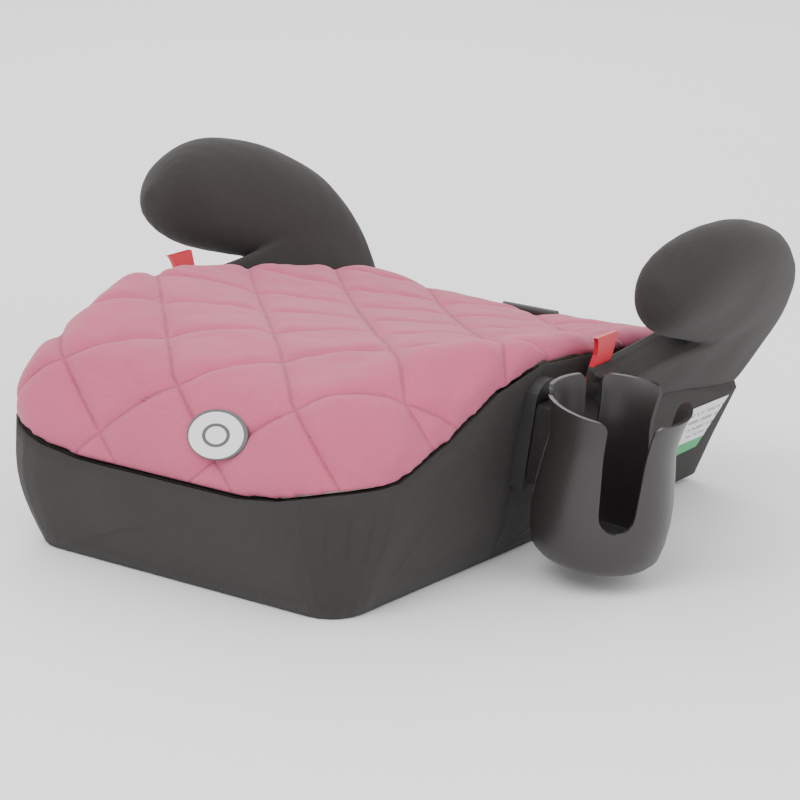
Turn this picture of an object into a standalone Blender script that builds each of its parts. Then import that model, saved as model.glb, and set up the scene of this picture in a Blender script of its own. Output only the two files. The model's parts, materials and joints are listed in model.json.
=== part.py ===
"""Backless booster seat: moulded base, foam, fabric cover, armrests, belt guides and a lift-off cup holder.

Units are metres, +Z is up, the front of the seat is -Y and the cup holder is on +X.
The origin is the middle of the seat's underside, on the hub where its two ribs cross.
"""
from math import atan, cos, hypot, pi, sin

import bmesh
import bpy
from mathutils import Euler, Matrix, Vector

# ---------------------------------------------------------------- driving dimensions
GAP = 0.0003                 # clearance left between two pieces that touch
BASE_HALF_WIDTH = 0.1175     # half the footprint's width
BASE_HALF_DEPTH = 0.178      # half the footprint's depth
SIDE_LEAN = 0.25             # outward run of the side walls for each unit of height
FRONT_LEAN = 0.24
BACK_LEAN = 0.03
FRONT_CORNER = 0.022         # plan radius of the front corners at the floor
FRONT_CORNER_GROWTH = 0.36   # how much that radius grows for each unit of height
BACK_CORNER = 0.026

FRONT_SEAM = 0.066           # height of the seam between top panel and skirt at the front
CORNER_SEAM = 0.077          # ... where the front corner meets the side
SIDE_SEAM = 0.121            # ... at its highest point, beside the thighs
SEAM_RISE_START = -0.155     # where along Y the seam starts to climb
SEAM_RISE_END = -0.040
SEAM_FALL_START = -0.010     # where along Y the seam starts to drop towards the back
SEAM_FALL = 0.17             # how fast it drops there

CROWN_HEIGHT = 0.130         # height of the seat's middle at its front crown
CROWN_Y = -0.105
FRONT_FALL = 2.0             # curvature of the fall in front of the crown
SEAT_SLOPE = 0.185           # slope that the seat's middle settles to behind the crown
CROWN_EASE = 0.05            # length over which that slope sets in
DISH = 0.013                 # how much higher the side rims stand than the middle
DISH_LENGTH = 0.09           # distance from the front over which the rims gain that height
ROLL = 0.011                 # least plan radius of the rolled edge of the seat
ROLL_SHARE = 0.74            # that radius as a share of the roll's height
EDGE_SHARE = 0.93            # where the top surface is read to find its height at the edge
EDGE_LIP = 0.002             # least drop from a sunk layer's surface to its edge

TOP_THICKNESS = 0.006        # quilted top panel
SKIRT_THICKNESS = 0.0015
SKIRT_LIFT = 0.001           # the skirt's lower edge above the floor
FOAM_THICKNESS = 0.018
FOAM_CLEARANCE = 0.0008      # between the loose foam and what lies over and under it
SHELL_WALL = 0.003
RIB_THICKNESS = 0.003
RIB_NOTCH_CLEARANCE = 0.002  # between the hem's elastic and the ribs' lifted ends
HUB_RADIUS = 0.012

ARM_LEAN = 0.55              # outward run of the armrest's middle plane for each unit of height
ARM_FOOT_X = 0.103           # where that plane meets the floor
SLEEVE_THICKNESS = 0.0015
ARM_FOAM = 0.006
ARM_FOOT_THICKNESS = 0.008   # at the floor
ARM_FOOT_LEAN = 0.36         # outward run of the foot's outer face for each unit of height
ARM_FOOT_BOTTOM = 0.004
ARM_TIP_REACH = 0.004        # how far the rounded end stands out from its last ring
ARM_SKIRT_CLEARANCE = 0.0006

GUIDE_Y = 0.009              # middle of the belt guide
GUIDE_OUT = 0.0127           # its middle plane's distance outside the cover's side wall
GUIDE_WIDTH = 0.022
GUIDE_THICKNESS = 0.003
GUIDE_TOP = 0.1335
GUIDE_SHOULDER = 0.114       # where its fin starts, just over the armrest's forward flange
GUIDE_BOTTOM = 0.100
GUIDE_CLEARANCE = 0.0005

CUP_Y = -0.030
CUP_X = 0.185                # the cup's axis at its bottom
CUP_Z = 0.018
CUP_LEAN = 0.17
CUP_HEIGHT = 0.093
CUP_BULGE = 0.0400
CUP_WAIST = 0.0362
CUP_RIM = 0.0412
CUP_WALL = 0.0024
CUP_FLOOR = 0.003
SLOT_BOTTOM = 0.025          # height of the slots' rounded ends above the cup's floor

RAIL_CLEARANCE = 0.0004
RAIL_FACE = 0.0475           # bracket's front face, measured back from the cup's axis
RAIL_STEM = 0.0030
RAIL_HEAD = 0.0025
RAIL_STEM_WIDTH = 0.007
RAIL_HEAD_WIDTH = 0.014
RAIL_BOTTOM = 0.030
RAIL_TOP = 0.068
BRACKET_WIDTH = 0.022
BRACKET_BOTTOM = 0.022
BRACKET_TOP = 0.089
HANGER_WIDTH = 0.024
HANGER_BOTTOM = 0.028
HANGER_TOP = 0.077

SCREW_RADIUS = 0.002
SCREW_HEAD_RADIUS = 0.004
SCREW_HEAD = 0.0022
SCREW_CLEARANCE = 0.0004

BAR_LENGTH = 0.042
BAR_X = -0.014               # the bar stands a little to one side of the middle
BAR_TOP = 0.087
BAR_BOTTOM = 0.022
BAR_THICKNESS = 0.004
BAR_ROUND = 0.0032           # radius of the bar's rounded top

BADGE_X = 0.040              # the badge stands a little to one side of the middle
BADGE_WIDTH = 0.043
BADGE_DEPTH = 0.029
BADGE_THICKNESS = 0.0016
BADGE_TURN = 0.62            # how far round the front roll the badge lies, in radians

HOOK_WIDTH = 0.014
HOOK_THICKNESS = 0.0022
HOOK_HEIGHT = 0.020
ELASTIC_RADIUS = 0.0016

CORNER_STEPS = 5
SIDE_STEPS = 7
END_STEPS = 5
ARM_RING = 16

COLOURS = {
    "base_plastic": ((0.030, 0.029, 0.030), 0.55, 0.0),
    "seat_foam": ((0.55, 0.53, 0.48), 0.95, 0.0),
    "pink_fabric": ((0.60, 0.18, 0.27), 0.85, 0.0),
    "charcoal_fabric": ((0.045, 0.041, 0.039), 0.90, 0.0),
    "cup_plastic": ((0.050, 0.044, 0.044), 0.40, 0.0),
    "red_plastic": ((0.56, 0.020, 0.030), 0.35, 0.0),
    "label_film": ((0.75, 0.74, 0.76), 0.45, 0.0),
    "badge_rubber": ((0.62, 0.66, 0.64), 0.55, 0.0),
    "screw_steel": ((0.55, 0.55, 0.56), 0.30, 1.0),
    "elastic": ((0.03, 0.03, 0.03), 0.85, 0.0),
}


# ---------------------------------------------------------------- Blender helpers
def clear_scene():
    for item in list(bpy.data.objects):
        bpy.data.objects.remove(item, do_unlink=True)


def material(name):
    colour, roughness, metallic = COLOURS[name]
    made = bpy.data.materials.get(name) or bpy.data.materials.new(name)
    made.use_nodes = True
    shader = made.node_tree.nodes["Principled BSDF"]
    shader.inputs["Base Color"].default_value = (*colour, 1.0)
    shader.inputs["Roughness"].default_value = roughness
    shader.inputs["Metallic"].default_value = metallic
    return made


def new_object(name, mesh, finish=None, crease_angle=0.6):
    made = bpy.data.objects.new(name, mesh)
    bpy.context.scene.collection.objects.link(made)
    if finish:
        # Each sub-part keeps a material of its own, copied from its finish.
        own = material(finish).copy()
        own.name = name + "_material"
        mesh.materials.append(own)
    mesh.shade_smooth()
    mesh.set_sharp_from_angle(angle=crease_angle)
    return made


def mesh_from(name, points, faces):
    mesh = bpy.data.meshes.new(name)
    mesh.from_pydata([tuple(p) for p in points], [], faces)
    build = bmesh.new()
    build.from_mesh(mesh)
    bmesh.ops.recalc_face_normals(build, faces=build.faces)
    build.to_mesh(mesh)
    build.free()
    return mesh


def band(rings, closed=False):
    """Triangles between neighbouring rings of equal length; closed joins the last ring to the first.

    Every quad is split the same way, so nested skins built in the same order keep their gap.
    """
    count = len(rings[0])
    faces = []
    last = len(rings) if closed else len(rings) - 1
    for i in range(last):
        low = i * count
        high = ((i + 1) % len(rings)) * count
        for j in range(count):
            k = (j + 1) % count
            faces.append((low + j, low + k, high + k))
            faces.append((low + j, high + k, high + j))
    return faces


def between_skins(name, first, first_tip, second, second_tip):
    """A closed layer between two skins, each a list of rings from its open edge to its tip."""
    count = len(first[0])
    points = [p for ring in first for p in ring] + [p for ring in second for p in ring]
    offset = len(first) * count
    faces = band(first) + [tuple(offset + i for i in face) for face in band(second)]
    for j in range(count):
        k = (j + 1) % count
        faces.append((j, k, offset + k))
        faces.append((j, offset + k, offset + j))
    bases = (offset - count, len(points) - count)
    for tip, base in zip((first_tip, second_tip), bases):
        faces += [(base + j, base + (j + 1) % count, len(points)) for j in range(count)]
        points.append(tip)
    return mesh_from(name, points, faces)


def lofted(name, rings, start_point=None, end_point=None, closed=False):
    """A closed solid through rings of points, each end shut by a fan to a point."""
    points = [p for ring in rings for p in ring]
    faces = band(rings, closed)
    count = len(rings[0])
    for tip, base in ((start_point, 0), (end_point, (len(rings) - 1) * count)):
        if tip is not None:
            points.append(tip)
            faces += [(base + j, base + (j + 1) % count, len(points) - 1) for j in range(count)]
    return mesh_from(name, points, faces)


def prism(name, outline, depth):
    """The outline's polygon in the plane of its first two coordinates, extruded by depth along the third."""
    count = len(outline)
    points = [Vector((x, y, 0.0)) for x, y in outline] + [Vector((x, y, depth)) for x, y in outline]
    faces = [tuple(range(count)), tuple(range(count, 2 * count))]
    faces += [(i, (i + 1) % count, count + (i + 1) % count, count + i) for i in range(count)]
    return mesh_from(name, points, faces)


def box_mesh(name, low, high):
    points = [(x, y, z) for x in (low[0], high[0]) for y in (low[1], high[1]) for z in (low[2], high[2])]
    faces = [(0, 1, 3, 2), (4, 6, 7, 5), (0, 4, 5, 1), (2, 3, 7, 6), (0, 2, 6, 4), (1, 5, 7, 3)]
    return mesh_from(name, points, faces)


def turned(name, profile, steps):
    """A solid turned about Z from (radius, height) pairs that start and end on the axis."""
    rings = []
    for radius, height in profile[1:-1]:
        rings.append([Vector((radius * cos(2 * pi * i / steps), radius * sin(2 * pi * i / steps), height))
                      for i in range(steps)])
    return lofted(name, rings, Vector((0, 0, profile[0][1])), Vector((0, 0, profile[-1][1])))


def as_tool(tool):
    tool.hide_render = True
    tool.display_type = "WIRE"
    return tool


def cut(target, tool, operation="DIFFERENCE"):
    step = target.modifiers.new(tool.name, "BOOLEAN")
    step.operation = operation
    step.solver = "EXACT"
    step.object = as_tool(tool)
    return target


def place(made, location, rotation=(0.0, 0.0, 0.0), parent=None):
    made.location = location
    made.rotation_euler = Euler(rotation)
    made.parent = parent
    return made


# ---------------------------------------------------------------- the seat's plan and height
def stations():
    """Points round the plan as (corner a, corner b, mix, direction), the same for every ring."""
    found = []
    corners = ((1, 1), (-1, 1), (-1, -1), (1, -1))
    for number, corner in enumerate(corners):
        start = number * pi / 2
        for step in range(CORNER_STEPS + 1):
            found.append((corner, corner, 0.0, start + step * pi / 2 / CORNER_STEPS))
        following = corners[(number + 1) % 4]
        steps = END_STEPS if following[0] != corner[0] else SIDE_STEPS
        for step in range(1, steps + 1):
            found.append((corner, following, step / (steps + 1), start + pi / 2))
    return found


STATIONS = stations()


def corner_radius(corner, height):
    return FRONT_CORNER + FRONT_CORNER_GROWTH * height if corner[1] < 0 else BACK_CORNER


def corner_centre(corner, height):
    radius = corner_radius(corner, height)
    x = BASE_HALF_WIDTH + SIDE_LEAN * height - radius
    lean = FRONT_LEAN if corner[1] < 0 else BACK_LEAN
    y = BASE_HALF_DEPTH + lean * height - radius
    return Vector((corner[0] * x, corner[1] * y))


def wall_x(height):
    """Outer face of the cover's straight side wall."""
    return BASE_HALF_WIDTH + SIDE_LEAN * height


def back_y(height):
    return BASE_HALF_DEPTH + BACK_LEAN * height


def plan_point(station, height, inset):
    first, second, mix, angle = station
    direction = Vector((cos(angle), sin(angle)))
    ends = []
    for corner in (first, second):
        radius = corner_radius(corner, height)
        # An inset beyond the corner's radius moves the corner's centre inward instead.
        shift = max(inset - radius + 0.001, 0.0)
        centre = corner_centre(corner, height) - Vector((corner[0] * shift, corner[1] * shift))
        ends.append(centre + direction * (radius - inset + shift))
    return ends[0].lerp(ends[1], mix)


def smooth(value):
    value = min(max(value, 0.0), 1.0)
    return value * value * (3 - 2 * value)


def seam_height(x, y):
    """Height of the seam between the top panel and the skirt at a place on the plan's edge."""
    corner = FRONT_SEAM + (CORNER_SEAM - FRONT_SEAM) * smooth((abs(x) - 0.06) / 0.07)
    climb = smooth((y - SEAM_RISE_START) / (SEAM_RISE_END - SEAM_RISE_START))
    side = SIDE_SEAM - SEAM_FALL * max(y - SEAM_FALL_START, 0.0)
    below_top = dome_height(x * EDGE_SHARE, y * EDGE_SHARE) - TOP_THICKNESS - 1.5 * EDGE_LIP
    return min(corner + (side - corner) * climb, below_top)


def dome_height(x, y):
    """Height of the seat's top surface over a place on the plan."""
    ahead = max(CROWN_Y - y, 0.0)
    behind = max(y - CROWN_Y, 0.0)
    middle = CROWN_HEIGHT - FRONT_FALL * ahead ** 2 - SEAT_SLOPE * behind ** 2 / (behind + CROWN_EASE)
    across = min(abs(x) / (wall_x(SIDE_SEAM) - ROLL), 1.0)
    return middle + DISH * across ** 2.5 * smooth((y + BASE_HALF_DEPTH) / DISH_LENGTH)


def edge_point(station):
    """The plan's edge at a station at the seam's height, and that height."""
    low = plan_point(station, FRONT_SEAM, 0.0)
    seam = seam_height(low.x, low.y)
    return plan_point(station, seam, 0.0), seam


def edge_top(station):
    """Height of the seat's top surface just inside its rolled edge."""
    outer, _ = edge_point(station)
    return dome_height(outer.x * EDGE_SHARE, outer.y * EDGE_SHARE)


def edge_height(station, depth):
    """Height of a sunk layer's edge: the seam's, or lower where the sunk surface itself lies lower."""
    _, seam = edge_point(station)
    if depth == 0.0:
        return seam
    return min(seam, edge_top(station) - depth - EDGE_LIP)


def seat_skin(depth, drop=0.0, turns=5, shares=(0.72, 0.45, 0.2)):
    """Rings of the seat's top surface, sunk by depth: the rolled edge first, then towards the middle.

    The edge ring is lowered by drop, so that what stands on this layer's edge keeps its gap.
    """
    rings = [[] for _ in range(turns + 1)]
    for station in STATIONS:
        _, seam = edge_point(station)
        roll = max(ROLL, ROLL_SHARE * (edge_top(station) - seam))
        edge = edge_height(station, depth) - drop
        for turn in range(turns + 1):
            angle = turn / turns * pi / 2
            spot = plan_point(station, seam, depth + roll * (1 - cos(angle)))
            surface = dome_height(spot.x, spot.y) - depth
            rings[turn].append(Vector((spot.x, spot.y, edge + (surface - edge) * sin(angle))))
    inner = rings[-1]
    for share in shares:
        ring = []
        for point in inner:
            x = point.x * share
            y = point.y * share
            ring.append(Vector((x, y, dome_height(x, y) - depth)))
        rings.append(ring)
    return rings, Vector((0, 0, dome_height(0, 0) - depth))


def plan_ring(height_at, inset):
    """A ring round the plan at an inset; height_at gives its height at a station."""
    ring = []
    for station in STATIONS:
        height = height_at(station)
        spot = plan_point(station, height, inset)
        ring.append(Vector((spot.x, spot.y, height)))
    return ring


FOAM_TOP = TOP_THICKNESS + FOAM_CLEARANCE      # depth of the foam's upper face
FOAM_BOTTOM = FOAM_TOP + FOAM_THICKNESS
DECK_TOP = FOAM_BOTTOM + FOAM_CLEARANCE        # depth of the shell's deck
DECK_BOTTOM = DECK_TOP + SHELL_WALL
SHELL_INSET = SKIRT_THICKNESS + GAP


def ledge_at(station):
    """Height of the shell's ledge, which carries the foam's lower edge."""
    return edge_height(station, FOAM_BOTTOM) - FOAM_CLEARANCE


# ---------------------------------------------------------------- base, foam and cover
def seat_layer(name, upper, lower, finish):
    """A closed layer of the seat between two depths below its top surface."""
    top_rings, top_middle = seat_skin(upper)
    low_rings, low_middle = seat_skin(lower)
    return new_object(name, between_skins(name, top_rings, top_middle, low_rings, low_middle), finish)


def make_base_shell():
    deck, deck_middle = seat_skin(DECK_TOP, FOAM_CLEARANCE)
    under, under_middle = seat_skin(DECK_BOTTOM, FOAM_CLEARANCE + SHELL_WALL)
    inner_inset = SHELL_INSET + SHELL_WALL
    outside = [plan_ring(lambda station: 0.0, SHELL_INSET), plan_ring(ledge_at, SHELL_INSET)]
    inside = [plan_ring(lambda station: 0.0, inner_inset),
              plan_ring(lambda station: ledge_at(station) - SHELL_WALL, inner_inset)]
    solid = between_skins("base_shell", outside + deck, deck_middle, inside + under, under_middle)
    shell = new_object("base_shell", solid, "base_plastic")
    add_ribs(shell)
    hub_height = 0.012
    hub = new_object("hub_shape", turned("hub_shape", [(0, 0), (HUB_RADIUS, 0), (HUB_RADIUS, hub_height),
                                                      (0, hub_height)], 16))
    return cut(shell, hub, "UNION")


def rib_bound():
    """The space under the middle of the shell's thickness, which the ribs fill up to."""
    half_wall = SHELL_WALL / 2
    inset = SHELL_INSET + half_wall
    deck, middle = seat_skin(DECK_TOP + half_wall, FOAM_CLEARANCE + half_wall)
    rings = [plan_ring(lambda station: 0.0, inset),
             plan_ring(lambda station: ledge_at(station) - half_wall, inset)]
    return new_object("rib_bound", lofted("rib_bound", rings + deck, Vector((0, 0, 0)), middle))


def rib_notch():
    """The band beside the wall that the ribs leave free for the hem's elastic and its hooks."""
    start = SHELL_INSET
    width = SHELL_WALL + 2 * ELASTIC_RADIUS + RIB_NOTCH_CLEARANCE
    lift = SKIRT_LIFT + 2 * ELASTIC_RADIUS + RIB_NOTCH_CLEARANCE

    def low(station):
        return -RIB_NOTCH_CLEARANCE

    def high(station):
        return lift

    rings = [plan_ring(low, start), plan_ring(high, start), plan_ring(high, start + width),
             plan_ring(low, start + width)]
    return new_object("rib_notch", lofted("rib_notch", rings, closed=True))


def add_ribs(shell):
    bound = rib_bound()
    notch = rib_notch()
    reach_x = wall_x(SIDE_SEAM)
    reach_y = BASE_HALF_DEPTH + FRONT_LEAN * FRONT_SEAM
    half = RIB_THICKNESS / 2
    sizes = {"rib_across": (reach_x, half), "rib_along": (half, reach_y)}
    for name, (x, y) in sizes.items():
        rib = new_object(name, box_mesh(name, (-x, -y, -RIB_NOTCH_CLEARANCE), (x, y, CROWN_HEIGHT)))
        cut(rib, bound, "INTERSECT")
        cut(rib, notch)
        cut(shell, rib, "UNION")


def make_skirt():
    def hem(station):
        return SKIRT_LIFT

    def seam(station):
        return edge_point(station)[1] - GAP

    rings = [plan_ring(hem, 0.0), plan_ring(seam, 0.0)]
    rings += [plan_ring(seam, SKIRT_THICKNESS), plan_ring(hem, SKIRT_THICKNESS)]
    return new_object("cover_skirt", lofted("cover_skirt", rings, closed=True), "charcoal_fabric")


def make_hem_elastic():
    """The round elastic that draws the cover's hem in under the base's rim, just inside its wall."""
    inset = SHELL_INSET + SHELL_WALL + GAP + ELASTIC_RADIUS
    sides = 6
    rings = []
    for step in range(sides):
        angle = 2 * pi * step / sides
        height = SKIRT_LIFT + ELASTIC_RADIUS * (1 + sin(angle))
        rings.append(plan_ring(lambda station, level=height: level, inset - ELASTIC_RADIUS * cos(angle)))
    return new_object("hem_elastic", lofted("hem_elastic", rings, closed=True), "elastic")


def make_cover_hook(name, location, turn):
    """A moulded J hook that holds the hem: flat shank inside the wall, foot over the elastic."""
    foot = 2 * ELASTIC_RADIUS + 2 * GAP + HOOK_THICKNESS
    shape = [(0, 0), (HOOK_THICKNESS, 0), (HOOK_THICKNESS, HOOK_HEIGHT - HOOK_THICKNESS),
             (foot, HOOK_HEIGHT - HOOK_THICKNESS), (foot, HOOK_HEIGHT), (0, HOOK_HEIGHT)]
    mesh = prism(name, shape, HOOK_WIDTH)
    mesh.transform(Matrix.Translation((0, -HOOK_WIDTH / 2, 0)) @ Matrix.Rotation(pi / 2, 4, "X")
                   @ Matrix.Translation((0, 0, -HOOK_WIDTH)))
    return place(new_object(name, mesh, "base_plastic"), location, (0, 0, turn))


def make_cover_hooks():
    inset = SHELL_INSET + SHELL_WALL + 3 * GAP + 2 * ELASTIC_RADIUS
    low = SKIRT_LIFT
    spots = {
        "cover_hook_front_left": (-0.06, -(BASE_HALF_DEPTH - inset - 0.001), pi / 2),
        "cover_hook_front_right": (0.06, -(BASE_HALF_DEPTH - inset - 0.001), pi / 2),
        "cover_hook_back_left": (-0.06, BASE_HALF_DEPTH - inset - 0.001, -pi / 2),
        "cover_hook_back_right": (0.06, BASE_HALF_DEPTH - inset - 0.001, -pi / 2),
    }
    for name, (x, y, turn) in spots.items():
        make_cover_hook(name, (x, y, low), turn)


# ---------------------------------------------------------------- armrests
def arm_sections():
    """Pairs of (rear or top point, front or lower point) in Y and Z with the sleeve's half thickness.

    The pairs run from the sleeve's hem, up the back, and forward to the rounded tip. The last number
    is the ring's power: 0.45 is nearly square-cornered, and 1 is an ellipse.
    """
    return (
        ((0.187, 0.066), (0.001, 0.098), 0.0065, 0.45),
        ((0.195, 0.093), (-0.004, 0.112), 0.0090, 0.45),
        ((0.194, 0.120), (0.086, 0.117), 0.0135, 0.75),
        ((0.181, 0.145), (0.078, 0.120), 0.0175, 0.85),
        ((0.157, 0.165), (0.063, 0.124), 0.0195, 0.90),
        ((0.124, 0.181), (0.046, 0.129), 0.0210, 0.90),
        ((0.088, 0.190), (0.031, 0.135), 0.0215, 0.90),
        ((0.058, 0.1895), (0.021, 0.143), 0.0205, 0.90),
        ((0.036, 0.183), (0.0155, 0.153), 0.0170, 0.90),
        ((0.0225, 0.173), (0.0155, 0.162), 0.0090, 0.90),
    )


def power(value, exponent):
    return abs(value) ** exponent * (1 if value >= 0 else -1)


def arm_ring(section, inset, side):
    """One rounded ring of the armrest, shrunk all round by an inset."""
    (rear_y, rear_z), (front_y, front_z), half_thickness, exponent = section
    middle_y = (rear_y + front_y) / 2
    middle_z = (rear_z + front_z) / 2
    half = Vector((0.0, (rear_y - front_y) / 2, (rear_z - front_z) / 2))
    length = half.length
    along = half / length
    along.x = ARM_LEAN * along.z
    across = Vector((1.0, 0.0, -ARM_LEAN)).normalized()
    wide = max(length - inset, 0.001)
    thick = max(half_thickness - inset, 0.0006)
    plane_x = ARM_FOOT_X + ARM_LEAN * middle_z
    for end in (rear_z, front_z):
        # Beside the seat, both ends of the ring stand clear of the cover's side.
        clear_x = wall_x(end) + ARM_SKIRT_CLEARANCE + half_thickness - ARM_LEAN * (end - middle_z)
        if end < SIDE_SEAM:
            plane_x = max(plane_x, clear_x)
    centre = Vector((plane_x, middle_y, middle_z))
    ring = []
    for step in range(ARM_RING):
        angle = 2 * pi * step / ARM_RING
        point = centre + along * (wide * power(cos(angle), exponent))
        point += across * (thick * power(sin(angle), exponent))
        ring.append(Vector((point.x * side, point.y, point.z)))
    return ring


def arm_tip(section, inset, side):
    """The point that closes the armrest's rounded front end."""
    (rear_y, rear_z), (front_y, front_z), _, _ = section
    middle_z = (rear_z + front_z) / 2
    x = ARM_FOOT_X + ARM_LEAN * middle_z
    return Vector((x * side, (rear_y + front_y) / 2 - max(ARM_TIP_REACH - inset, 0.0005), middle_z))


def arm_rings(inset, side, first=0, last=None):
    sections = arm_sections()[first:last]
    return [arm_ring(section, inset, side) for section in sections], arm_tip(sections[-1], inset, side)


def arm_layer(name, outer_inset, inner_inset, side, finish, first=0):
    """A layer of the armrest between two insets, open at its lower end."""
    outer, outer_tip = arm_rings(outer_inset, side, first)
    inner, inner_tip = arm_rings(inner_inset, side, first)
    return new_object(name, between_skins(name, outer, outer_tip, inner, inner_tip), finish)


ARM_FOAM_FIRST = 2                                 # the ring where the foam starts, above the seat's rim
FOAM_INSET = SLEEVE_THICKNESS + GAP
CORE_INSET = FOAM_INSET + ARM_FOAM + GAP


def foot_face(height):
    """Where the armrest's foot has its outer face at a height."""
    return wall_x(0.0) + ARM_SKIRT_CLEARANCE + ARM_FOOT_THICKNESS + ARM_FOOT_LEAN * height


def foot_ring(height, front, back, side):
    """A nearly square-cornered level ring of the armrest's foot, standing against the cover's side."""
    inner_x = wall_x(height) + ARM_SKIRT_CLEARANCE
    half_thickness = (foot_face(height) - inner_x) / 2
    half_length = (back - front) / 2
    ring = []
    for step in range(ARM_RING):
        angle = 2 * pi * step / ARM_RING
        x = inner_x + half_thickness * (1 + power(sin(angle), 0.3))
        ring.append(Vector((x * side, (front + back) / 2 + half_length * power(cos(angle), 0.3), height)))
    return ring


def make_arm(hand, side):
    foot = [foot_ring(height, front, rear, side) for height, front, rear in
            ((ARM_FOOT_BOTTOM, 0.084, 0.168), (0.030, 0.078, 0.174), (0.060, 0.070, 0.184))]
    root, _ = arm_rings(FOAM_INSET, side, 0, ARM_FOAM_FIRST)
    head, tip = arm_rings(CORE_INSET, side, ARM_FOAM_FIRST, -1)
    bottom = sum(foot[0], Vector()) / ARM_RING
    name = "armrest_core_" + hand
    core = new_object(name, lofted(name, foot + root + head, bottom, tip), "base_plastic")
    arm_layer("armrest_foam_" + hand, FOAM_INSET, CORE_INSET - GAP, side, "seat_foam", ARM_FOAM_FIRST)
    sleeve = arm_layer("armrest_sleeve_" + hand, 0.0, SLEEVE_THICKNESS, side, "charcoal_fabric")
    return core, sleeve


# ---------------------------------------------------------------- screws
def make_screw(name, seat, direction, length, crossed):
    """A pan-head screw whose head's underside is at seat, with its clearance hole in each piece it crosses."""
    profile = [(0, -SCREW_HEAD), (SCREW_HEAD_RADIUS * 0.8, -SCREW_HEAD), (SCREW_HEAD_RADIUS, -SCREW_HEAD * 0.6),
               (SCREW_HEAD_RADIUS, 0), (SCREW_RADIUS, 0), (SCREW_RADIUS, length - SCREW_RADIUS), (0, length)]
    turn = Vector(direction).to_track_quat("Z", "Y").to_euler()
    place(new_object(name, turned(name, profile, 12), "screw_steel"), seat, turn)
    radius = SCREW_RADIUS + SCREW_CLEARANCE
    reach = length + SCREW_CLEARANCE
    hole_profile = [(0, -SCREW_HEAD), (radius, -SCREW_HEAD), (radius, reach), (0, reach)]
    hole = new_object(name + "_hole", turned(name + "_hole", hole_profile, 12))
    place(hole, seat, turn)
    for piece in crossed:
        cut(piece, hole)


def side_screw(name, y, height, side, length, crossed):
    """A screw from inside the base outward through its leaning side wall."""
    x = wall_x(height) - SHELL_INSET - SHELL_WALL - GAP
    make_screw(name, (side * x, y, height), (side, 0, -SIDE_LEAN), length, crossed)


# ---------------------------------------------------------------- belt guides
def guide_outline(grow):
    """The guide's outline in Y and Z: a tongue, a shoulder and a fin whose front edge is hollowed."""
    half = GUIDE_WIDTH / 2
    tongue = half * 0.7 + grow
    shape = [(-tongue, GUIDE_BOTTOM - grow), (tongue, GUIDE_BOTTOM - grow), (tongue, GUIDE_SHOULDER),
             (half + grow, GUIDE_SHOULDER + 0.004), (half + grow, GUIDE_TOP), (-half - grow, GUIDE_TOP)]
    hollow = (GUIDE_TOP - GUIDE_SHOULDER) * 0.8
    for step in range(1, 6):
        angle = step / 6 * pi / 2
        shape.append((-half - grow + (half - tongue + grow) * 1.6 * sin(angle), GUIDE_TOP - hollow * (1 - cos(angle))))
    shape.append((-tongue, GUIDE_SHOULDER))
    return shape


def guide_solid(name, grow, side, finish=None):
    outline = guide_outline(grow)
    half_thickness = GUIDE_THICKNESS / 2 + grow
    points = []
    for offset in (-half_thickness, half_thickness):
        points += [Vector((side * (wall_x(z) + GUIDE_OUT + offset), GUIDE_Y + y, z)) for y, z in outline]
    count = len(outline)
    faces = [tuple(range(count)), tuple(range(count, 2 * count))]
    faces += [(i, (i + 1) % count, count + (i + 1) % count, count + i) for i in range(count)]
    return new_object(name, mesh_from(name, points, faces), finish, 0.4)


def make_belt_guide(hand, side, pierced):
    """A red fin whose tongue is held in a slit in the armrest's forward flange."""
    name = "belt_guide_" + hand
    guide_solid(name, 0.0, side, "red_plastic")
    slit = guide_solid(name + "_slit", GUIDE_CLEARANCE, side)
    for piece in pierced:
        cut(piece, slit)


# ---------------------------------------------------------------- cup holder and its bracket
CUP_ANGLE = atan(CUP_LEAN)


def cup_frame(name):
    """The cup's own frame: its axis leans outward, and pieces under it are modelled upright."""
    empty = bpy.data.objects.new(name, None)
    bpy.context.scene.collection.objects.link(empty)
    return place(empty, (CUP_X, CUP_Y, CUP_Z), (0, CUP_ANGLE, 0))


def cup_profile(offset):
    """(radius, height) pairs of the cup's outer face, from floor to rim, moved inward by an offset."""
    shape = ((0.0335, 0.0), (0.0368, 0.0035), (0.0388, 0.012), (CUP_BULGE, 0.026), (0.0396, 0.038),
             (0.0380, 0.052), (CUP_WAIST, 0.066), (0.0364, 0.074), (0.0385, 0.085), (CUP_RIM, CUP_HEIGHT))
    return [(radius - offset, height) for radius, height in shape]


def rail_boxes(grow, bottom, top):
    """The rail's stem and head as boxes (low, high), grown all round by a clearance."""
    stem_face = -RAIL_FACE + RAIL_STEM
    embed = 0.001
    stem = ((-RAIL_FACE - embed, -RAIL_STEM_WIDTH / 2 - grow, bottom),
            (stem_face + embed / 2, RAIL_STEM_WIDTH / 2 + grow, top + grow))
    head = ((stem_face - grow, -RAIL_HEAD_WIDTH / 2 - grow, bottom),
            (stem_face + RAIL_HEAD + grow, RAIL_HEAD_WIDTH / 2 + grow, top + grow))
    return stem, head


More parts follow.
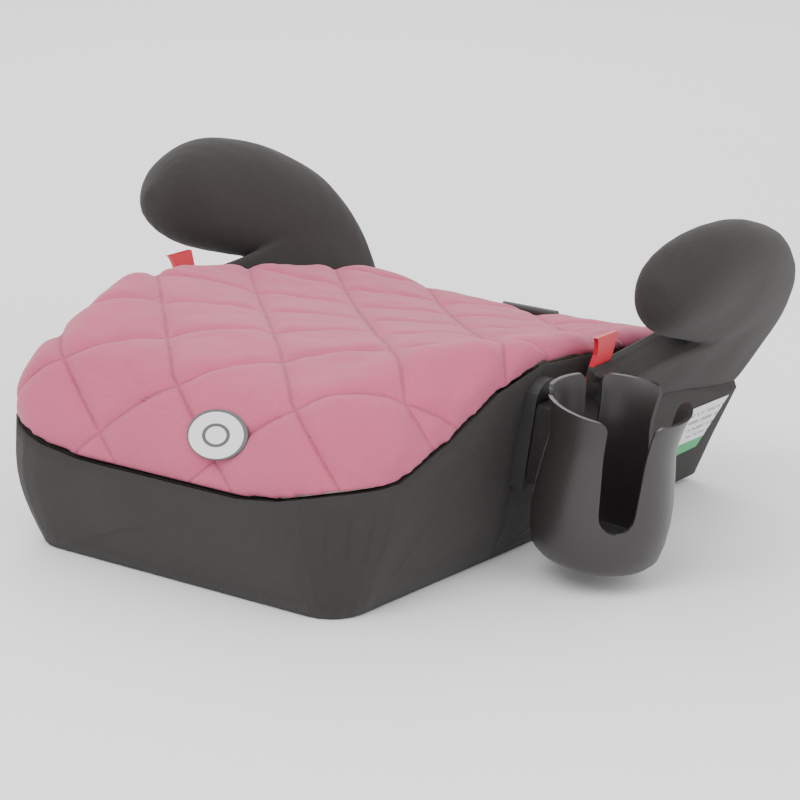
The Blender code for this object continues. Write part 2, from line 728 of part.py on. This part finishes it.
def make_cup(parent):
    steps = 40
    outer = cup_profile(0.0)
    cup = new_object("cup_holder", turned("cup_holder", [(0, 0)] + outer + [(0, CUP_HEIGHT)], steps), "cup_plastic")
    cup.parent = parent
    block_face = -RAIL_FACE + 0.0006
    back = (block_face, -HANGER_WIDTH / 2, HANGER_BOTTOM)
    front = (-CUP_WAIST + 0.004, HANGER_WIDTH / 2, HANGER_TOP)
    block = new_object("hanger_shape", box_mesh("hanger_shape", back, front))
    rounding = block.modifiers.new("rounding", "BEVEL")
    rounding.width = 0.002
    rounding.segments = 2
    block.parent = parent
    cut(cup, block, "UNION")
    inner = [(radius, height) for radius, height in cup_profile(CUP_WALL) if height > CUP_FLOOR]
    floor_radius = inner[0][0] - 0.001
    hollow_top = CUP_HEIGHT + 0.01
    hollow = new_object("cup_hollow", turned("cup_hollow", [(0, CUP_FLOOR), (floor_radius, CUP_FLOOR)] + inner
                                             + [(inner[-1][0] + 0.002, hollow_top), (0, hollow_top)], steps))
    hollow.parent = parent
    cut(cup, hollow)
    # Each slot: direction round the axis, half width at the foot and at the rim, corner radius at the rim.
    slots = ((-45, 0.0105, 0.0130, 0.006), (72, 0.0070, 0.0090, 0.006),
             (147, 0.0045, 0.0050, 0.0045), (-147, 0.0045, 0.0050, 0.0045))
    for number, (angle, foot, rim, corner) in enumerate(slots):
        tool = slot_tool("cup_slot_%d" % number, foot, rim, corner)
        place(tool, (0, 0, 0), (0, 0, angle * pi / 180), parent)
        cut(cup, tool)
    for number, (low, high) in enumerate(rail_boxes(RAIL_CLEARANCE, -0.01, RAIL_TOP)):
        tool = new_object("rail_slot_%d" % number, box_mesh("rail_slot", low, high))
        tool.parent = parent
        cut(cup, tool)
    return cup


def slot_tool(name, foot, rim, corner):
    """A U-shaped slot with a round foot, opening upward, its edges rounded over at the rim."""
    low = CUP_FLOOR + SLOT_BOTTOM
    above = CUP_HEIGHT + 0.012
    half = []
    for step in range(5):
        angle = step / 4 * pi / 2
        half.append((foot * sin(angle), low + foot * (1 - cos(angle))))
    for step in range(5):
        angle = step / 4 * pi / 2
        half.append((rim + corner * (1 - cos(angle)), CUP_HEIGHT - corner + corner * sin(angle)))
    half.append((rim + corner, above))
    outline = half + [(-y, z) for y, z in reversed(half[1:])]
    start = 0.012
    reach = 0.050
    mesh = prism(name, outline, reach)
    # The outline stands in Y and Z, and the prism runs outward along X.
    mesh.transform(Matrix.Translation((start, 0, 0)) @ Matrix(((0, 0, 1, 0), (1, 0, 0, 0), (0, 1, 0, 0), (0, 0, 0, 1))))
    return new_object(name, mesh)


def bracket_back(height):
    """How far back along the cup's own X the bracket meets the cover's leaning side at a height."""
    lean = cos(CUP_ANGLE) + SIDE_LEAN * sin(CUP_ANGLE)
    start = BASE_HALF_WIDTH + GAP - CUP_X + SIDE_LEAN * CUP_Z
    return (start + height * (SIDE_LEAN * cos(CUP_ANGLE) - sin(CUP_ANGLE))) / lean


def make_bracket(parent):
    half = BRACKET_WIDTH / 2
    outline = [(-half, BRACKET_BOTTOM), (half, BRACKET_BOTTOM)]
    steps = 10
    for step in range(steps + 1):
        angle = step / steps * pi
        outline.append((half * cos(angle), BRACKET_TOP - half + half * sin(angle)))
    points = [Vector((bracket_back(z), y, z)) for y, z in outline]
    points += [Vector((-RAIL_FACE, y, z)) for y, z in outline]
    count = len(outline)
    faces = [tuple(range(count)), tuple(range(count, 2 * count))]
    faces += [(i, (i + 1) % count, count + (i + 1) % count, count + i) for i in range(count)]
    bracket = new_object("cup_bracket", mesh_from("cup_bracket", points, faces), "cup_plastic")
    bracket.parent = parent
    for number, (low, high) in enumerate(rail_boxes(0.0, RAIL_BOTTOM, RAIL_TOP)):
        tool = new_object("rail_shape_%d" % number, box_mesh("rail_shape", low, high))
        tool.parent = parent
        cut(bracket, tool, "UNION")
    return bracket


# ---------------------------------------------------------------- rear bar, label and badge
def make_rear_bar():
    """A flat plate on the back of the cover with a round-topped bar standing over the seat's back edge."""
    front = back_y(BAR_TOP) + GAP
    outline = [(front, BAR_BOTTOM), (front + BAR_THICKNESS, BAR_BOTTOM)]
    middle = front + BAR_ROUND
    for step in range(9):
        angle = step / 8 * pi
        outline.append((middle + BAR_ROUND * cos(angle), BAR_TOP - BAR_ROUND + BAR_ROUND * sin(angle)))
    mesh = prism("rear_bar", outline, BAR_LENGTH)
    mesh.transform(Matrix.Translation((BAR_X - BAR_LENGTH / 2, 0, 0))
                   @ Matrix(((0, 0, 1, 0), (1, 0, 0, 0), (0, 1, 0, 0), (0, 0, 0, 1))))
    return new_object("rear_bar", mesh, "base_plastic")


def make_label():
    """A film label on the outer face of the armrest's foot: four corners in Y and Z."""
    corners = ((0.119, 0.058), (0.128, 0.026), (0.152, 0.027), (0.171, 0.058))
    thickness = 0.0004
    points = []
    for lift in (GAP, GAP + thickness):
        points += [Vector((foot_face(z) + lift, y, z)) for y, z in corners]
    faces = [(0, 1, 2, 3), (4, 5, 6, 7)] + [(i, (i + 1) % 4, 4 + (i + 1) % 4, 4 + i) for i in range(4)]
    return new_object("label_sticker", mesh_from("label_sticker", points, faces), "label_film", 0.3)


def make_badge():
    """An oval patch on the front roll of the top panel."""
    x = BADGE_X
    edge = FRONT_SEAM
    y_edge = -(BASE_HALF_DEPTH + FRONT_LEAN * edge)
    top = dome_height(x, y_edge * 0.93)
    roll = max(ROLL, 0.9 * (top - edge))
    spots = []
    for angle in (BADGE_TURN - 0.1, BADGE_TURN + 0.1):
        y = y_edge + roll * (1 - cos(angle))
        spots.append(Vector((x, y, edge + (dome_height(x, y) - edge) * sin(angle))))
    slope = (spots[1] - spots[0]).normalized()
    normal = Vector((1, 0, 0)).cross(slope).normalized()
    middle = (spots[0] + spots[1]) / 2 + normal * (GAP + 0.0022)
    profile = [(0, 0), (1.0, 0), (1.0, BADGE_THICKNESS * 0.6), (0.95, BADGE_THICKNESS), (0, BADGE_THICKNESS)]
    mesh = turned("badge_patch", profile, 24)
    mesh.transform(Matrix.Diagonal((BADGE_WIDTH / 2, BADGE_DEPTH / 2, 1, 1)))
    badge = new_object("badge_patch", mesh, "badge_rubber")
    turn = Matrix((Vector((1, 0, 0)), slope, normal)).transposed().to_euler()
    return place(badge, middle, turn)


# ---------------------------------------------------------------- assembly
def main():
    clear_scene()
    shell = make_base_shell()
    seat_layer("seat_foam", FOAM_TOP, FOAM_BOTTOM, "seat_foam")
    seat_layer("seat_top_panel", 0.0, TOP_THICKNESS, "pink_fabric")
    skirt = make_skirt()
    make_hem_elastic()
    make_cover_hooks()
    through = SHELL_WALL + SKIRT_THICKNESS + ARM_SKIRT_CLEARANCE + 3 * GAP
    for hand, side in (("left", 1), ("right", -1)):
        core, sleeve = make_arm(hand, side)
        make_belt_guide(hand, side, (core, sleeve))
        for place_name, y in (("front", 0.100), ("back", 0.142)):
            side_screw("armrest_screw_%s_%s" % (hand, place_name), y, 0.045, side, through + 0.005,
                       (shell, skirt, core))
    frame = cup_frame("cup_frame")
    make_cup(frame)
    bracket = make_bracket(frame)
    for place_name, height in (("lower", 0.052), ("upper", 0.088)):
        side_screw("cup_bracket_screw_" + place_name, CUP_Y, height, 1, through + 0.0025, (shell, skirt, bracket))
    bar = make_rear_bar()
    for hand, x in (("left", BAR_X + BAR_LENGTH / 5), ("right", BAR_X - BAR_LENGTH / 5)):
        height = 0.036
        seat = (x, back_y(height) - SHELL_INSET - SHELL_WALL - GAP, height)
        make_screw("rear_bar_screw_" + hand, seat, (0, 1, -BACK_LEAN), through + 0.0025, (shell, skirt, bar))
    make_label()
    make_badge()


main()
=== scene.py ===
"""Looks for a backless child's booster seat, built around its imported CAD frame."""
import json
import logging
from dataclasses import dataclass, field
from enum import Enum
from math import cos, pi, radians, sin

import bmesh
import bpy
import numpy as np
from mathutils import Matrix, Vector, noise
from mathutils.bvhtree import BVHTree


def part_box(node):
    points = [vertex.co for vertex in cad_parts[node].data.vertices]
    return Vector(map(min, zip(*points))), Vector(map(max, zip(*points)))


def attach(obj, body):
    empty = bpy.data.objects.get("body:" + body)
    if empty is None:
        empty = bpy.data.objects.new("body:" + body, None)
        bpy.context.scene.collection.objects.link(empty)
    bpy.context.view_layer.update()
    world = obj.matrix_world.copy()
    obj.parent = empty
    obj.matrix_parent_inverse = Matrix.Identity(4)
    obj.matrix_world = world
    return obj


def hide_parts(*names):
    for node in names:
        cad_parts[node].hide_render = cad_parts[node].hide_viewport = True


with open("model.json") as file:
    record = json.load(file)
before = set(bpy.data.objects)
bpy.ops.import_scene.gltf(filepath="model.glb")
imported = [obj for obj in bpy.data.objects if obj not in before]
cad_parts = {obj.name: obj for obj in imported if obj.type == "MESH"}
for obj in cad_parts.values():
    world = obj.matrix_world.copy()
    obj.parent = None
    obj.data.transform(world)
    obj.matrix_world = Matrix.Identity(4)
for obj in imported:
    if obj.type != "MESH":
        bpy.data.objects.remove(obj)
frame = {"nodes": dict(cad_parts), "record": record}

LOG = logging.getLogger("booster")
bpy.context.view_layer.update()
MM = 0.001
QUILT_STEP = 0.087          # distance between two quilt lines, measured across the seat
QUILT_SHIFT = 0.004         # how far the diamonds are shifted to the right
ROLL_HEIGHT = 0.118         # height under which the panel turns down over the front
ROLL_SHARE = 0.8


class Side(Enum):
    """The two sides of the seat."""

    LEFT = "left"
    RIGHT = "right"


class Socket:
    """A shader value, on which operators add Math nodes."""

    def __init__(self, graph: "Graph", link: bpy.types.NodeSocket) -> None:
        """Wraps an output socket of a graph."""
        self.graph = graph
        self.link = link

    def _math(self, operation: str, first: object, second: object = 0.0) -> "Socket":
        """Adds one Math node and wraps its value."""
        return self.graph.node("ShaderNodeMath", {"operation": operation}, {0: first, 1: second})

    def __add__(self, other: object) -> "Socket":
        """Sum."""
        return self._math("ADD", self, other)

    def __sub__(self, other: object) -> "Socket":
        """Difference."""
        return self._math("SUBTRACT", self, other)

    def __rsub__(self, other: object) -> "Socket":
        """Difference from a number."""
        return self._math("SUBTRACT", other, self)

    def __mul__(self, other: object) -> "Socket":
        """Product."""
        return self._math("MULTIPLY", self, other)

    __radd__ = __add__
    __rmul__ = __mul__

    def __truediv__(self, other: object) -> "Socket":
        """Quotient."""
        return self._math("DIVIDE", self, other)

    def above(self, edge: object) -> "Socket":
        """1 where the value is greater than an edge, else 0."""
        return self._math("GREATER_THAN", self, edge)

    def below(self, edge: object) -> "Socket":
        """1 where the value is less than an edge, else 0."""
        return self._math("LESS_THAN", self, edge)

    def least(self, other: object) -> "Socket":
        """The smaller of two values."""
        return self._math("MINIMUM", self, other)

    def most(self, other: object) -> "Socket":
        """The larger of two values."""
        return self._math("MAXIMUM", self, other)

    def sine(self) -> "Socket":
        """Sine of the value."""
        return self._math("SINE", self)

    def cosine(self) -> "Socket":
        """Cosine of the value."""
        return self._math("COSINE", self)

    def size(self) -> "Socket":
        """The value without its sign."""
        return self._math("ABSOLUTE", self)

    def fold(self, step: float) -> "Socket":
        """Distance to the nearest multiple of a step."""
        return self._math("PINGPONG", self, step / 2)


class Graph:
    """A material's node tree with one Principled shader."""

    def __init__(self, name: str) -> None:
        """Creates the material and its shader."""
        self.material = bpy.data.materials.new(name)
        self.material.use_nodes = True
        self.tree = self.material.node_tree
        self.shader = self.tree.nodes["Principled BSDF"]

    def node(self, kind: str, settings: dict, inputs: dict, output: object = 0) -> Socket:
        """Adds a node.

        Args:
            kind: the node's type.
            settings: attributes that are set first.
            inputs: values or sockets by input name or number.
            output: which output is wrapped.

        Returns:
            The wrapped output.
        """
        made = self.tree.nodes.new(kind)
        for name, value in settings.items():
            setattr(made, name, value)
        for name, value in inputs.items():
            self._feed(made.inputs[name], value)
        return Socket(self, made.outputs[output])

    def _feed(self, target: bpy.types.NodeSocket, value: object) -> None:
        """Links a socket, or sets a constant."""
        if isinstance(value, Socket):
            self.tree.links.new(value.link, target)
        else:
            target.default_value = value

    def set(self, name: str, value: object) -> None:
        """Feeds one input of the Principled shader."""
        self._feed(self.shader.inputs[name], value)

    def place(self) -> tuple[Socket, Socket, Socket, Socket]:
        """The point on the object at rest, as a vector and as its three numbers."""
        vector = self.node("ShaderNodeTexCoord", {}, {}, "Object")
        split = [self.node("ShaderNodeSeparateXYZ", {}, {0: vector}, axis) for axis in "XYZ"]
        return vector, split[0], split[1], split[2]

    def noise(self, vector: Socket, scale: float, detail: float = 3.0) -> Socket:
        """Noise from 0 to 1."""
        return self.node("ShaderNodeTexNoise", {}, {"Vector": vector, "Scale": scale, "Detail": detail}, 0)

    def mix(self, share: object, first: object, second: object) -> Socket:
        """A blend of two colours."""
        return self.node("ShaderNodeMix", {"data_type": "RGBA"}, {0: share, 6: first, 7: second}, 2)

    def bump(self, height: Socket, distance: float, strength: float = 1.0) -> None:
        """Feeds the shader's normal from a height."""
        made = self.node("ShaderNodeBump", {}, {"Height": height, "Distance": distance, "Strength": strength}, 0)
        self.set("Normal", made)


def rgba(colour: tuple[float, float, float], share: float = 1.0) -> tuple[float, float, float, float]:
    """A colour times a share, with full opacity."""
    return (colour[0] * share, colour[1] * share, colour[2] * share, 1.0)


def quilt_place(graph: Graph, x: Socket, y: Socket, z: Socket) -> tuple[Socket, Socket]:
    """How far a point is from the two nearest quilt lines, in metres times root two."""
    fall = (ROLL_HEIGHT - z).most(0.0) * (y.below(-0.1) * ROLL_SHARE)
    along = y - fall
    return (x + along + QUILT_SHIFT).fold(QUILT_STEP), (x - along + QUILT_SHIFT).fold(QUILT_STEP)


@dataclass(frozen=True)
class Fabric:
    """Woven cloth with a fine weave, soft blotches and a faint sheen; quilted cloth also gets painted shade along
    its quilt lines.
    """

    name: str
    colour: tuple[float, float, float]
    weave: float = 0.0014
    depth: float = 0.0003
    quilted: bool = False
    sheen: float = 0.25

    def build(self) -> bpy.types.Material:
        """Makes the material."""
        graph = Graph(self.name)
        vector, x, y, z = graph.place()
        turn = 2 * pi / self.weave
        threads = ((x * turn).sine() * (y * turn).cosine() + (y * turn).sine() * (z * turn).cosine()
                   + (z * turn).sine() * (x * turn).cosine())
        slub = graph.noise(vector, 900.0, 2.0)
        wrinkle = graph.noise(vector, 22.0, 4.0)
        height = threads * 0.12 + slub * 0.7 + wrinkle * 3.0
        tone = graph.noise(vector, 14.0, 5.0)
        colour = graph.mix(tone, rgba(self.colour, 0.86), rgba(self.colour, 1.10))
        colour = graph.mix((threads * 0.12 + 0.12).most(0.0), colour, rgba(self.colour, 0.62))
        if self.quilted:
            steep, flat = quilt_place(graph, x, y, z)
            near = steep.least(flat)
            crease_and_painted_shade = (1.0 - near / 0.0022).most(0.0)
            dash_steep = ((x - y) * (2 * pi / 0.0075)).sine().above(-0.2)
            dash_flat = ((x + y) * (2 * pi / 0.0075)).sine().above(-0.2)
            stitch = (steep.below(0.0009) * dash_steep).most(flat.below(0.0011) * dash_flat)
            height = height - crease_and_painted_shade * 2.4 + stitch * 2.0
            # painted shade: the cloth colour is darkened along the quilt lines, where the creases lie in shadow;
            # the same mask also sinks the bump height
            colour = graph.mix(crease_and_painted_shade * 0.45, colour, rgba(self.colour, 0.55))
            colour = graph.mix(stitch * 0.5, colour, rgba(self.colour, 0.80))
        graph.set("Base Color", colour)
        graph.set("Roughness", 0.93)
        graph.set("Sheen Weight", self.sheen)
        graph.set("Sheen Roughness", 0.5)
        graph.bump(height, self.depth, 0.8)
        return graph.material


@dataclass(frozen=True)
class Plastic:
    """Moulded plastic with a fine texture and slightly uneven gloss."""

    name: str
    colour: tuple[float, float, float]
    roughness: float = 0.45
    grain: float = 0.00006
    metallic: float = 0.0

    def build(self) -> bpy.types.Material:
        """Makes the material."""
        graph = Graph(self.name)
        vector, _, _, _ = graph.place()
        speck = graph.noise(vector, 1500.0, 2.0)
        cloud = graph.noise(vector, 30.0, 4.0)
        graph.set("Base Color", graph.mix(cloud, rgba(self.colour, 0.9), rgba(self.colour, 1.12)))
        graph.set("Roughness", cloud * 0.12 + (self.roughness - 0.06))
        graph.set("Metallic", self.metallic)
        graph.bump(speck, self.grain)
        return graph.material


@dataclass(frozen=True)
class LabelPrint:
    """A white film with a green band low down and rows of plain grey marks."""

    name: str
    low: float
    high: float

    def build(self) -> bpy.types.Material:
        """Makes the material."""
        graph = Graph(self.name)
        vector, _, y, z = graph.place()
        rise = (z - self.low) / (self.high - self.low)
        band = rise.below(0.24)
        rows = (rise * 40.0).sine().above(0.35) * rise.above(0.34) * rise.below(0.86)
        gaps = graph.noise(vector, 420.0, 1.0).above(0.46) * (y * 90.0).sine().above(-0.7)
        colour = graph.mix(rows * gaps, (0.72, 0.69, 0.74, 1.0), (0.25, 0.25, 0.27, 1.0))
        graph.set("Base Color", graph.mix(band, colour, (0.01, 0.33, 0.10, 1.0)))
        graph.set("Roughness", 0.35)
        return graph.material


@dataclass(frozen=True)
class BadgeRubber:
    """A pale soft patch with a dark sewn border and a small plain ring in its middle."""

    name: str
    middle: Vector
    half_width: float
    half_depth: float

    def build(self) -> bpy.types.Material:
        """Makes the material."""
        graph = Graph(self.name)
        _, x, _, z = graph.place()
        wide = (x - self.middle.x) / self.half_width
        tall = (z - self.middle.z) / self.half_depth
        away = graph.node("ShaderNodeMath", {"operation": "POWER"}, {0: wide * wide + tall * tall, 1: 0.5})
        border = away.above(0.90)
        ring = away.above(0.34) * away.below(0.46)
        colour = graph.mix(ring, (0.70, 0.72, 0.70, 1.0), (0.09, 0.09, 0.09, 1.0))
        graph.set("Base Color", graph.mix(border, colour, (0.10, 0.10, 0.10, 1.0)))
        graph.set("Roughness", 0.6)
        return graph.material


def dressed(piece: bpy.types.Object, finish: bpy.types.Material) -> bpy.types.Object:
    """Gives a piece one material in place of what it has."""
    piece.data.materials.clear()
    piece.data.materials.append(finish)
    return piece


def copy_of(node: str, name: str) -> bpy.types.Object:
    """A new object whose mesh starts as a CAD node's."""
    made = bpy.data.objects.new(name, frame["nodes"][node].data.copy())
    bpy.context.collection.objects.link(made)
    made.matrix_world = frame["nodes"][node].matrix_world.copy()
    return made


def apply(piece: bpy.types.Object) -> None:
    """Turns a piece's modifiers into its mesh."""
    graph = bpy.context.evaluated_depsgraph_get()
    mesh = bpy.data.meshes.new_from_object(piece.evaluated_get(graph))
    piece.modifiers.clear()
    piece.data = mesh


def shade_smooth(piece: bpy.types.Object) -> None:
    """Smooth shading on every face."""
    piece.data.polygons.foreach_set("use_smooth", [True] * len(piece.data.polygons))


def merged(piece: bpy.types.Object) -> None:
    """Joins the vertices that lie on each other, so that the skin is one surface."""
    work = bmesh.new()
    work.from_mesh(piece.data)
    bmesh.ops.remove_doubles(work, verts=work.verts, dist=1e-5)
    work.to_mesh(piece.data)
    work.free()


def smooth_step(value: float) -> float:
    """An ease from 0 to 1."""
    share = min(max(value, 0.0), 1.0)
    return share * share * (3 - 2 * share)


@dataclass
class Cushion:
    """The quilted top panel over its foam."""

    finish: bpy.types.Material
    voxel: float = 0.0028
    puff: float = 0.0026
    groove: float = 0.0022
    ease: float = 0.0085
    seam_ease: float = 0.014

    def _line_gap(self, value: float) -> float:
        """Distance from a value to the nearest quilt line."""
        return abs((value + QUILT_STEP / 2) % QUILT_STEP - QUILT_STEP / 2) / 2 ** 0.5

    def _lift(self, point: Vector) -> float:
        """How far the surface stands proud at a point."""
        fall = max(0.0, ROLL_HEIGHT - point.z) * ROLL_SHARE if point.y < -0.1 else 0.0
        along = point.y - fall
        steep = self._line_gap(point.x + along + QUILT_SHIFT)
        flat = self._line_gap(point.x - along + QUILT_SHIFT)
        full = (1 - np.exp(-steep / self.ease * 1.7)) * (1 - np.exp(-flat / self.ease * 2.4))
        pucker = noise.noise(point * 70.0) * 0.0009 + noise.noise(point * 28.0) * 0.0012
        return self.puff * full - self.groove * (1 - full) + pucker

    def build(self) -> bpy.types.Object:
        """Makes the panel, replaces the plain one and returns it."""
        piece = copy_of("seat_top_panel", "quilted_cushion")
        merged(piece)
        remesh = piece.modifiers.new("skin", "REMESH")
        remesh.mode = "VOXEL"
        remesh.voxel_size = self.voxel
        soften = piece.modifiers.new("soften", "SMOOTH")
        soften.factor = 0.5
        soften.iterations = 14
        apply(piece)
        skirt = frame["nodes"]["cover_skirt"].data
        seam = BVHTree.FromPolygons([vertex.co for vertex in skirt.vertices],
                                    [polygon.vertices for polygon in skirt.polygons])
        normals = [vertex.normal.copy() for vertex in piece.data.vertices]
        for vertex, normal in zip(piece.data.vertices, normals):
            up = smooth_step((normal.z + 0.05) / 0.35) if vertex.co.y > -0.15 else 1.0
            outward = 1.0 if normal.z > 0 or normal.y < -0.3 else 0.0
            near = smooth_step((seam.find_nearest(vertex.co)[3] - MM) / self.seam_ease)
            vertex.co += normal * (self._lift(vertex.co) * up * outward * near)
        shade_smooth(piece)
        dressed(piece, self.finish)
        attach(piece, "seat")
        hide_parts("seat_top_panel")
        LOG.info("quilted cushion: %d vertices", len(piece.data.vertices))
        return piece


@dataclass
class Skirt:
    """The dark cloth round the base, a little slack at the front corners."""

    finish: bpy.types.Material
    slack: float = 0.0065
    ripple: float = 0.0016
    girth: float = 1.28
    drop: float = 0.090

    def _shift(self, point: Vector, low: Vector, high: Vector) -> Vector:
        """How the cloth hangs away from the base at a point.

        Args:
            point: a point of the plain skirt.
            low: the plain skirt's lowest corner.
            high: its highest corner.

        Returns:
            The move outward.
        """
        rise = (point.z - low.z) / (high.z * 0.62)
        belly = sin(pi * min(max(rise, 0.0), 1.0))
        outward = Vector((point.x / high.x, point.y / high.y, 0.0))
        front = smooth_step((0.02 - point.y) / 0.12)
        amount = self.slack * belly * (0.15 + 0.85 * front)
        amount += self.ripple * noise.noise(Vector((point.x * 30, point.y * 30, point.z * 12))) * belly
        return outward.normalized() * amount

    def build(self) -> bpy.types.Object:
        """Makes the skirt, replaces the plain one and returns it."""
        piece = copy_of("cover_skirt", "cloth_skirt")
        merged(piece)
        finer = piece.modifiers.new("finer", "SUBSURF")
        finer.levels = 3
        finer.render_levels = 3
        finer.subdivision_type = "SIMPLE"
        apply(piece)
        low, high = (Vector(corner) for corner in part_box("cover_skirt"))
        for vertex in piece.data.vertices:
            vertex.co += self._shift(vertex.co, low, high)
        shade_smooth(piece)
        dressed(piece, self.finish)
        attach(piece, "seat")
        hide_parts("cover_skirt")
        LOG.info("cloth skirt: %d vertices", len(piece.data.vertices))
        return piece


@dataclass
class ArmSleeve:
    """A padded cloth sleeve over one armrest."""

    finish: bpy.types.Material
    side: Side
    wander: float = 0.0009
    fullness: float = 0.0012

    def build(self) -> bpy.types.Object:
        """Makes the sleeve, replaces the plain one and returns it."""
        piece = copy_of("armrest_sleeve_" + self.side.value, "padded_sleeve_" + self.side.value)
        merged(piece)
        normals = [vertex.normal.copy() for vertex in piece.data.vertices]
        for vertex, normal in zip(piece.data.vertices, normals):
            vertex.co += normal * self.fullness
        finer = piece.modifiers.new("finer", "SUBSURF")
        finer.levels = 3
        finer.render_levels = 3
        apply(piece)
        for vertex in piece.data.vertices:
            vertex.co += noise.noise_vector(vertex.co * 26.0) * self.wander
        shade_smooth(piece)
        dressed(piece, self.finish)
        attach(piece, "seat")
        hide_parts("armrest_sleeve_" + self.side.value, "armrest_foam_" + self.side.value)
        LOG.info("sleeve %s: %d vertices", self.side.value, len(piece.data.vertices))
        return piece


@dataclass
class CupHolder:
    """The moulded cup with its slots, with smooth walls and rounded rims."""

    finish: bpy.types.Material
    rim: float = 0.0007

    def build(self) -> bpy.types.Object:
        """Makes the cup, replaces the plain one and returns it."""
        piece = copy_of("cup_holder", "moulded_cup")
        merged(piece)
        shade_smooth(piece)
        piece.data.set_sharp_from_angle(angle=radians(42))
        edge = piece.modifiers.new("edge", "BEVEL")
        edge.width = self.rim
        edge.segments = 3
        edge.limit_method = "ANGLE"
        edge.angle_limit = radians(42)
        apply(piece)
        dressed(piece, self.finish)
        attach(piece, "cup")
        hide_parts("cup_holder")
        LOG.info("cup: %d vertices", len(piece.data.vertices))
        return piece


@dataclass
class HardParts:
    """The CAD nodes that stay as they are, each with its finish, and rounded edges on a few of them."""

    finishes: dict[str, bpy.types.Material]
    round_off: float = 0.0006
    rounded: tuple[str, ...] = ("cup_bracket", "rear_bar", "belt_guide_left", "belt_guide_right")

    def build(self) -> None:
        """Dresses every node that no other piece stands for."""
        for entry in frame["record"]["subparts"]:
            name = entry["node"]
            piece = frame["nodes"][name]
            dressed(piece, self.finishes.get(name, self.finishes[entry["material_slot"]]))
            if name in self.rounded:
                bevel = piece.modifiers.new("edge", "BEVEL")
                bevel.width = self.round_off
                bevel.segments = 2
                bevel.limit_method = "ANGLE"
                bevel.angle_limit = radians(40)
            LOG.info("dressed %s", name)


@dataclass
class Studio:
    """Floor, lights and camera."""

    azimuth: float = 37.9
    elevation: float = 16.1
    lens: float = 139.5
    distance: float = 1.8685
    target: Vector = field(default_factory=lambda: Vector((0.0216, 0.0, 0.0712)))

    def _light(self, name: str, spot: tuple[float, float, float], size: float, power: float) -> None:
        """A soft square light that faces the object."""
        data = bpy.data.lights.new(name, "AREA")
        data.size = size
        data.energy = power
        lamp = bpy.data.objects.new(name, data)
        bpy.context.collection.objects.link(lamp)
        lamp.location = spot
        lamp.rotation_euler = (self.target - Vector(spot)).to_track_quat("-Z", "Y").to_euler()

    def build(self) -> None:
        """Makes the stage."""
        mesh = bpy.data.meshes.new("floor")
        reach = 8.0
        mesh.from_pydata([(-reach, -reach, 0), (reach, -reach, 0), (reach, reach, 0), (-reach, reach, 0)], [],
                         [(0, 1, 2, 3)])
        floor = bpy.data.objects.new("floor", mesh)
        bpy.context.collection.objects.link(floor)
        pale = Graph("floor_paint")
        vector, _, _, _ = pale.place()
        pale.set("Base Color", pale.mix(pale.noise(vector, 3.0), (0.93, 0.93, 0.93, 1.0), (0.95, 0.95, 0.95, 1.0)))
        pale.set("Roughness", 0.8)
        dressed(floor, pale.material)
        self._light("key", (0.3, -1.6, 1.9), 1.4, 34.0)
        self._light("fill", (1.9, -0.3, 1.1), 1.6, 14.0)
        self._light("back", (-1.2, 1.4, 1.7), 1.4, 22.0)
        world = bpy.data.worlds.new("world")
        world.use_nodes = True
        world.node_tree.nodes["Background"].inputs[0].default_value = (1.0, 1.0, 1.0, 1.0)
        world.node_tree.nodes["Background"].inputs[1].default_value = 1.25
        bpy.context.scene.world = world
        camera = bpy.data.objects.new("camera", bpy.data.cameras.new("camera"))
        bpy.context.collection.objects.link(camera)
        turn, lift = radians(self.azimuth), radians(self.elevation)
        away = Vector((sin(turn) * cos(lift), -cos(turn) * cos(lift), sin(lift)))
        camera.location = self.target + away * self.distance
        camera.rotation_euler = (-away).to_track_quat("-Z", "Y").to_euler()
        camera.data.lens = self.lens
        camera.data.sensor_width = 36.0
        bpy.context.scene.camera = camera
        LOG.info("stage, lights and camera")


def main() -> None:
    """Builds every sub-assembly in order."""
    logging.basicConfig(level=logging.INFO)
    pink = Fabric("pink_cloth", (0.50, 0.092, 0.172), quilted=True, sheen=0.15).build()
    charcoal = Fabric("charcoal_cloth", (0.024, 0.0215, 0.020), sheen=0.06).build()
    label_low, label_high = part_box("label_sticker")
    low, high = (Vector(corner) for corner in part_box("badge_patch"))
    finishes = {
        "pink_fabric": pink,
        "charcoal_fabric": charcoal,
        "seat_foam": Plastic("foam", (0.78, 0.74, 0.58), 0.95, 0.0006).build(),
        "base_plastic": Plastic("base_plastic", (0.028, 0.027, 0.027), 0.5).build(),
        "cup_plastic": Plastic("cup_plastic", (0.024, 0.021, 0.021), 0.36).build(),
        "red_plastic": Plastic("red_plastic", (0.56, 0.012, 0.030), 0.4).build(),
        "screw_steel": Plastic("screw_steel", (0.5, 0.5, 0.5), 0.35, 0.00002, 1.0).build(),
        "elastic": Plastic("elastic", (0.02, 0.02, 0.02), 0.9, 0.0002).build(),
        "label_film": LabelPrint("label_film", label_low[2], label_high[2]).build(),
        "badge_rubber": BadgeRubber("badge_rubber", (low + high) / 2, (high.x - low.x) / 2,
                                    (high.z - low.z) / 2).build(),
        "armrest_core_left": charcoal,
        "armrest_core_right": charcoal,
    }
    HardParts(finishes).build()
    CupHolder(finishes["cup_plastic"]).build()
    Cushion(pink).build()
    Skirt(charcoal).build()
    for side in Side:
        ArmSleeve(charcoal, side).build()
    Studio().build()


if __name__ == "__main__":
    main()
